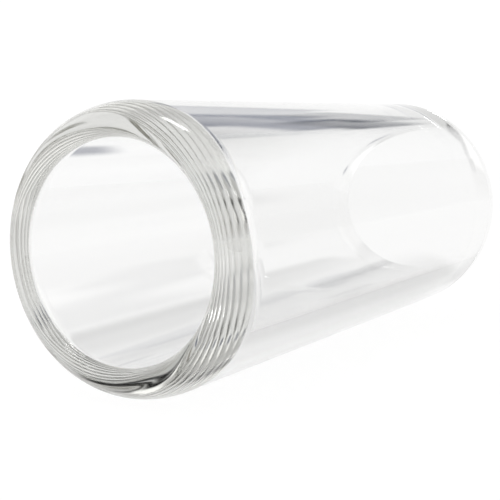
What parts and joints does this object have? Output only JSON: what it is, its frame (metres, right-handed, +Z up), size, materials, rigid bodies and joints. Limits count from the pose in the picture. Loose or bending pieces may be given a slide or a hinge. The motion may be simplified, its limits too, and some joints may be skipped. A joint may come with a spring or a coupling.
{
  "type": "guitar slide",
  "caption": "Clear glass guitar slide: a straight thick-walled open tube with rounded, fire-polished ends, worn on a finger.",
  "frame": {"origin": "centre of the tube, on its axis halfway between the two ends", "axes": "+Y along the tube's axis towards the far end, +Z up with the tube lying on its side, +X to the right"},
  "size_m": [0.029, 0.069, 0.029],
  "materials": {
    "clear_glass": "clear, fire-polished"
  },
  "bodies": {
    "root": {"glass_tube": "clear_glass"}
  },
  "joints": []
}
